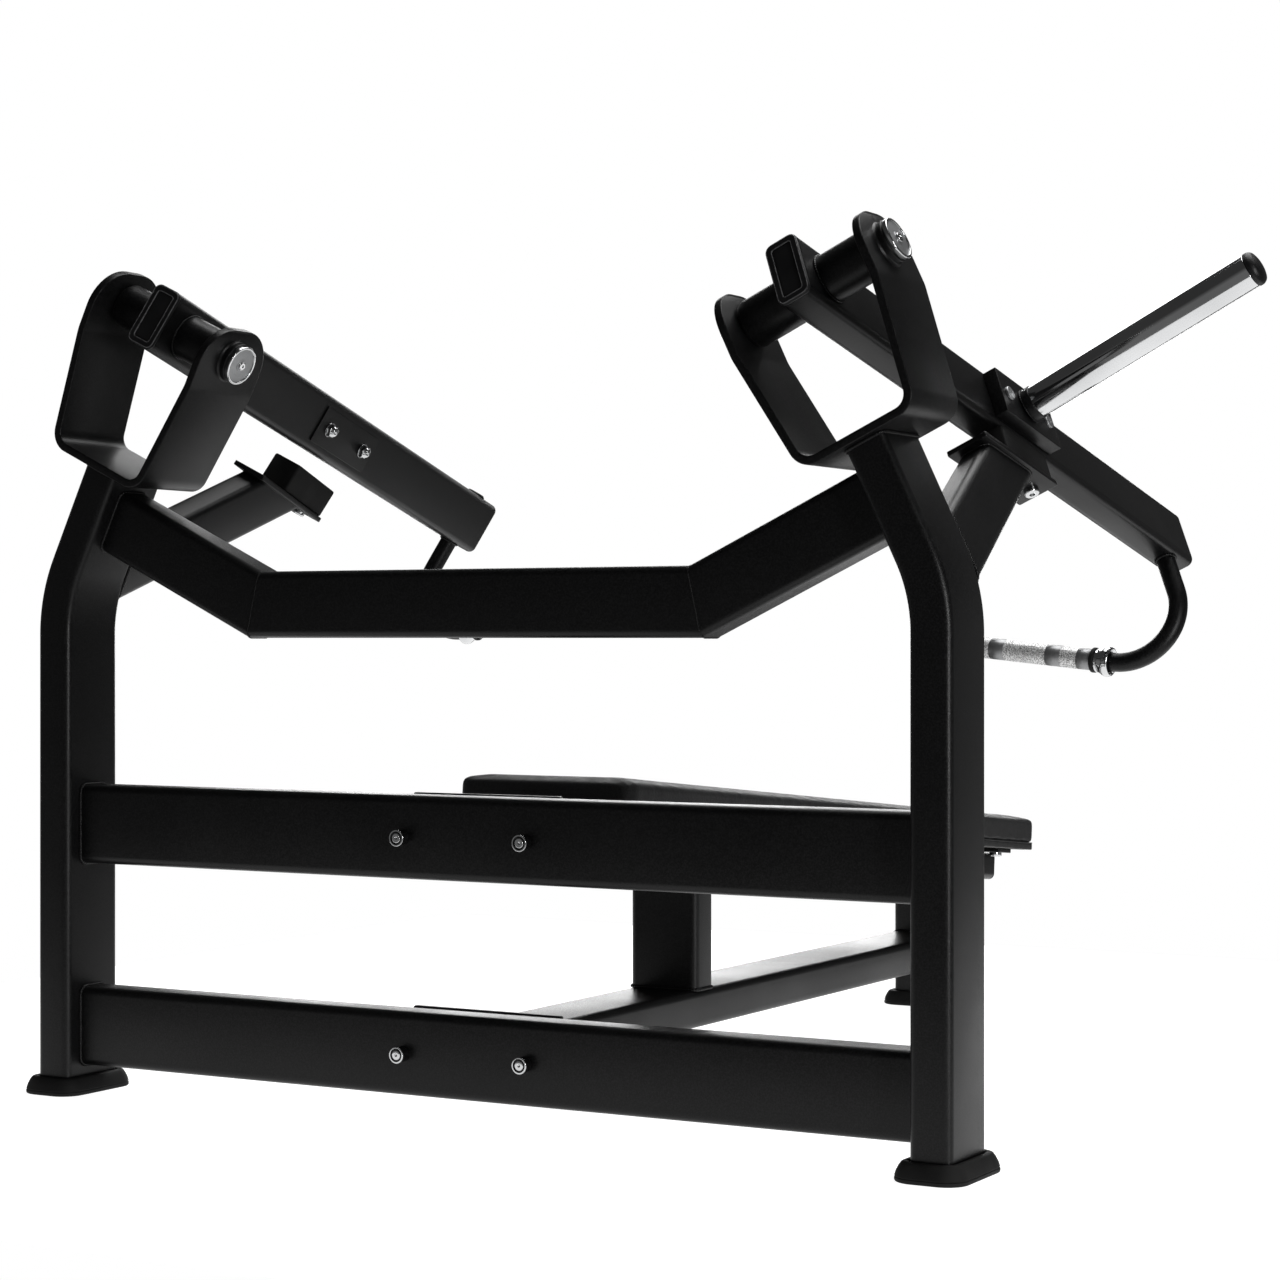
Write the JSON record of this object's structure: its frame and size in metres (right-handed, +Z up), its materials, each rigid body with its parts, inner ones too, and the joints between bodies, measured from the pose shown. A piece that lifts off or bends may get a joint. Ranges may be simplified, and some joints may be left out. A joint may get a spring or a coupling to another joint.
{
  "type": "chest press machine",
  "caption": "Plate-loaded lying chest press: a sloping padded bench between leaning uprights, each carrying a hinged press arm with a plate horn and a knurled grip",
  "frame": {"origin": "on the floor, below the middle of the machine's bounding box", "axes": "+X to the user's right as they lie on the bench, across the machine; +Y from the head end to the foot end; +Z up"},
  "size_m": [1.9827, 1.8512, 1.262],
  "materials": {
    "powder_coat": "satin black powder coat with a fine speckle",
    "chrome": "polished chrome plate",
    "knurled_chrome": "chrome plate with diamond knurling",
    "rubber": "matt moulded rubber",
    "plastic": "matt moulded plastic",
    "upholstery": "fine-grained black synthetic leather over foam",
    "backing_board": "dark painted board"
  },
  "bodies": {
    "frame": {"axle_cap_left": "chrome", "axle_cap_right": "chrome", "axle_pin_left": "chrome", "axle_pin_right": "chrome", "bench_spine": "powder_coat", "foot_front": "rubber", "foot_left": "rubber", "foot_right": "rubber", "front_post": "powder_coat", "lower_beam_bolt_left": "chrome", "lower_beam_bolt_right": "chrome", "lower_crossbeam": "powder_coat", "middle_beam_bolt_left": "chrome", "middle_beam_bolt_right": "chrome", "middle_crossbeam": "powder_coat", "pad_board": "backing_board", "pad_bolt_left": "chrome", "pad_bolt_right": "chrome", "pad_cushion": "upholstery", "pad_rail": "powder_coat", "rail_end_cap": "plastic", "rear_post": "powder_coat", "stop_bolt_left": "chrome", "stop_bolt_right": "chrome", "stop_brace_left": "powder_coat", "stop_brace_right": "powder_coat", "stop_bumper_left": "rubber", "stop_bumper_right": "rubber", "upper_crossbeam": "powder_coat", "upright_left": "powder_coat", "upright_right": "powder_coat", "yoke_left": "powder_coat", "yoke_right": "powder_coat"},
    "left_arm": {"arm_rear_plug_left": "plastic", "arm_tube_left": "powder_coat", "grip_collar_left": "chrome", "grip_ring_left": "rubber", "grip_sleeve_left": "knurled_chrome", "handle_tube_left": "powder_coat", "horn_bolt_left_front": "chrome", "horn_bolt_left_rear": "chrome", "horn_bracket_left": "powder_coat", "horn_cap_left": "plastic", "pivot_bush_left_inner": "plastic", "pivot_bush_left_outer": "plastic", "weight_horn_left": "chrome"},
    "right_arm": {"arm_rear_plug_right": "plastic", "arm_tube_right": "powder_coat", "grip_collar_right": "chrome", "grip_ring_right": "rubber", "grip_sleeve_right": "knurled_chrome", "handle_tube_right": "powder_coat", "horn_bolt_right_front": "chrome", "horn_bolt_right_rear": "chrome", "horn_bracket_right": "powder_coat", "horn_cap_right": "plastic", "pivot_bush_right_inner": "plastic", "pivot_bush_right_outer": "plastic", "weight_horn_right": "chrome"}
  },
  "joints": [
    {"name": "right_arm_hinge", "type": "hinge", "parent": "frame", "child": "right_arm", "pos_m": [0.5355, -0.845, 1.16], "axis": [0.9026, 0, 0.4305], "range_deg": [0, 45]},
    {"name": "left_arm_hinge", "type": "hinge", "parent": "frame", "child": "left_arm", "pos_m": [-0.5355, -0.845, 1.16], "axis": [0.9026, 0, -0.4305], "range_deg": [-3.6, 41.4]}
  ]
}
